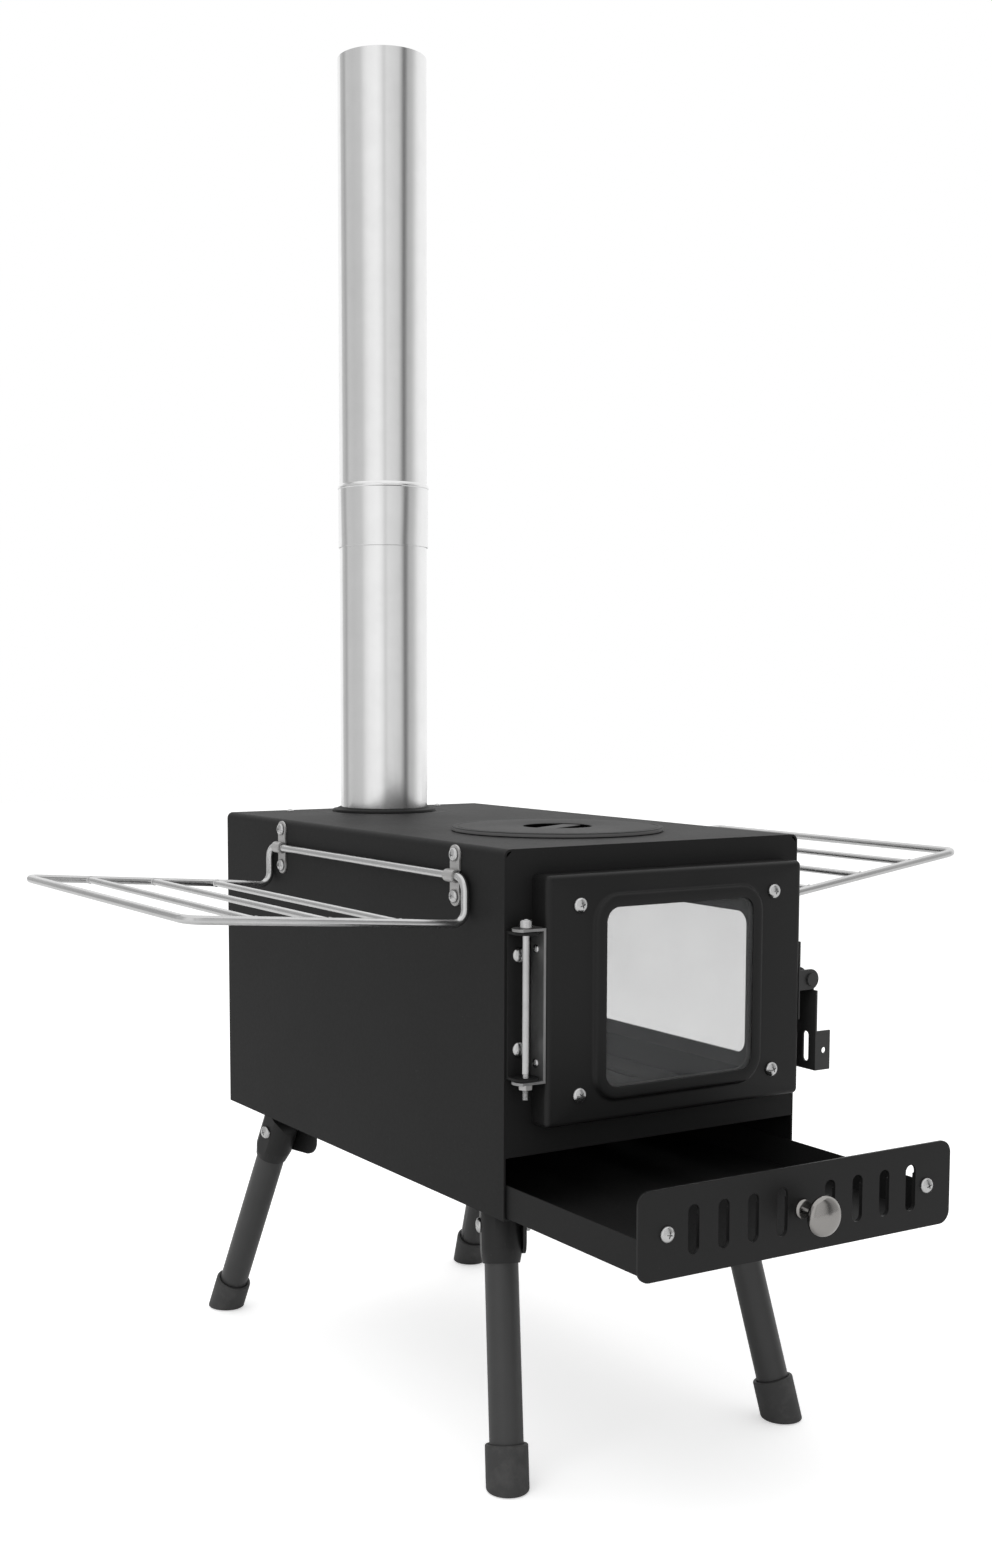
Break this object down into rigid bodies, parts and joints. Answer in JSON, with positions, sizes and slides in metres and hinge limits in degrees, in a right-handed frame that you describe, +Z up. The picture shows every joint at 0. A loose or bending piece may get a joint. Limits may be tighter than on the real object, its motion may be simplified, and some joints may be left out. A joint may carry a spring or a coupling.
{
  "type": "tent wood stove",
  "caption": "Portable sheet-steel tent wood stove with a glazed door and wall, folding legs, fold-up side racks, ash drawer, cook lid and a sectional flue pipe.",
  "frame": {"origin": "on the floor, under the middle of the whole stove with its drawer and racks out", "axes": "+Z up along the flue, -Y towards the door and drawer, +X towards the right-hand rack"},
  "size_m": [0.5427, 0.5182, 0.8575],
  "materials": {
    "black_coat": "fine matt black powder coat",
    "door_coat": "fine satin black powder coat",
    "black_parts": "satin black",
    "leg_coat": "satin dark grey",
    "inner_steel": "dark heat-stained steel sheet",
    "flue_steel": "bright rolled stainless sheet",
    "zinc": "bright zinc plated",
    "rod_steel": "bright drawn rod",
    "knob_nickel": "satin nickel",
    "glass": "clear heat-proof glass",
    "rubber": "matt dark rubber"
  },
  "bodies": {
    "firebox": {"shell": "black_coat", "front_panel": "black_coat", "back_panel": "black_coat", "base_plate": "black_coat", "grate_ledges": "inner_steel", "fire_grate": "inner_steel", "side_glass": "glass", "side_glass_frame": "black_coat", "side_glass_screws": "zinc", "flue_collar": "black_coat", "top_screws": "zinc", "rack_clamps_left": "zinc", "rack_clamps_right": "zinc", "rack_screws_left": "zinc", "rack_screws_right": "zinc", "hinge_bracket_body": "black_parts", "hinge_screws_body": "zinc", "hinge_bolt": "zinc", "hinge_nut": "zinc", "latch_stud": "zinc", "leg_brackets": "black_parts", "leg_bolts": "zinc"},
    "door": {"door_pan": "door_coat", "hinge_bracket_door": "zinc", "hinge_screws_door": "zinc", "door_glass": "glass", "glass_frame": "door_coat", "door_screws": "zinc", "latch_base": "black_parts", "latch_pin": "black_parts"},
    "latch": {"latch_arm": "black_parts"},
    "drawer": {"drawer_tray": "inner_steel", "drawer_front": "door_coat", "drawer_screws": "zinc", "drawer_knob": "knob_nickel", "knob_screw": "zinc"},
    "lid": {"cook_lid": "black_coat", "lid_bar": "black_coat"},
    "pipe_low": {"pipe_lower": "flue_steel"},
    "pipe_top": {"pipe_upper": "flue_steel"},
    "rack_l": {"rack_left": "rod_steel"},
    "rack_r": {"rack_right": "rod_steel"},
    "leg_front_left": {"socket_front_left": "black_parts", "tube_front_left": "leg_coat", "foot_front_left": "rubber"},
    "leg_front_right": {"socket_front_right": "black_parts", "tube_front_right": "leg_coat", "foot_front_right": "rubber"},
    "leg_back_left": {"socket_back_left": "black_parts", "tube_back_left": "leg_coat", "foot_back_left": "rubber"},
    "leg_back_right": {"socket_back_right": "black_parts", "tube_back_right": "leg_coat", "foot_back_right": "rubber"}
  },
  "joints": [
    {"name": "door_hinge", "type": "hinge", "parent": "firebox", "child": "door", "pos_m": [-0.0936, -0.12362, 0.26825], "axis": [0, 0, -1], "range_deg": [0, 165]},
    {"name": "latch_swing", "type": "hinge", "parent": "door", "child": "latch", "pos_m": [0.10226, -0.12281, 0.2675], "axis": [0, -1, 0], "range_deg": [0, 120]},
    {"name": "drawer_slide", "type": "slide", "parent": "firebox", "child": "drawer", "axis": [0, 1, 0], "range_m": [-0.1, 0.1205]},
    {"name": "lid_lift", "type": "slide", "parent": "firebox", "child": "lid", "axis": [0, 0, 1], "range_m": [0, 0.06]},
    {"name": "lower_pipe_lift", "type": "slide", "parent": "firebox", "child": "pipe_low", "axis": [0, 0, 1], "range_m": [0, 0.04]},
    {"name": "upper_pipe_lift", "type": "slide", "parent": "pipe_low", "child": "pipe_top", "axis": [0, 0, 1], "range_m": [0, 0.1]},
    {"name": "left_rack_fold", "type": "hinge", "parent": "firebox", "child": "rack_l", "pos_m": [-0.1047, 0.04088, 0.3337], "axis": [0, 1, 0], "range_deg": [0, 105]},
    {"name": "right_rack_fold", "type": "hinge", "parent": "firebox", "child": "rack_r", "pos_m": [0.1047, 0.04088, 0.3337], "axis": [0, -1, 0], "range_deg": [0, 101]},
    {"name": "front_left_leg_fold", "type": "hinge", "parent": "firebox", "child": "leg_front_left", "pos_m": [-0.082, -0.08161, 0.1375], "axis": [0.8988, -0.4384, 0], "range_deg": [0, 96]},
    {"name": "front_right_leg_fold", "type": "hinge", "parent": "firebox", "child": "leg_front_right", "pos_m": [0.082, -0.08161, 0.1375], "axis": [0.8988, 0.4384, 0], "range_deg": [0, 96]},
    {"name": "back_left_leg_fold", "type": "hinge", "parent": "firebox", "child": "leg_back_left", "pos_m": [-0.088, 0.18638, 0.1375], "axis": [-0.9744, -0.225, 0], "range_deg": [0, 88]},
    {"name": "back_right_leg_fold", "type": "hinge", "parent": "firebox", "child": "leg_back_right", "pos_m": [0.088, 0.18638, 0.1375], "axis": [-0.9744, 0.225, 0], "range_deg": [0, 88]}
  ]
}
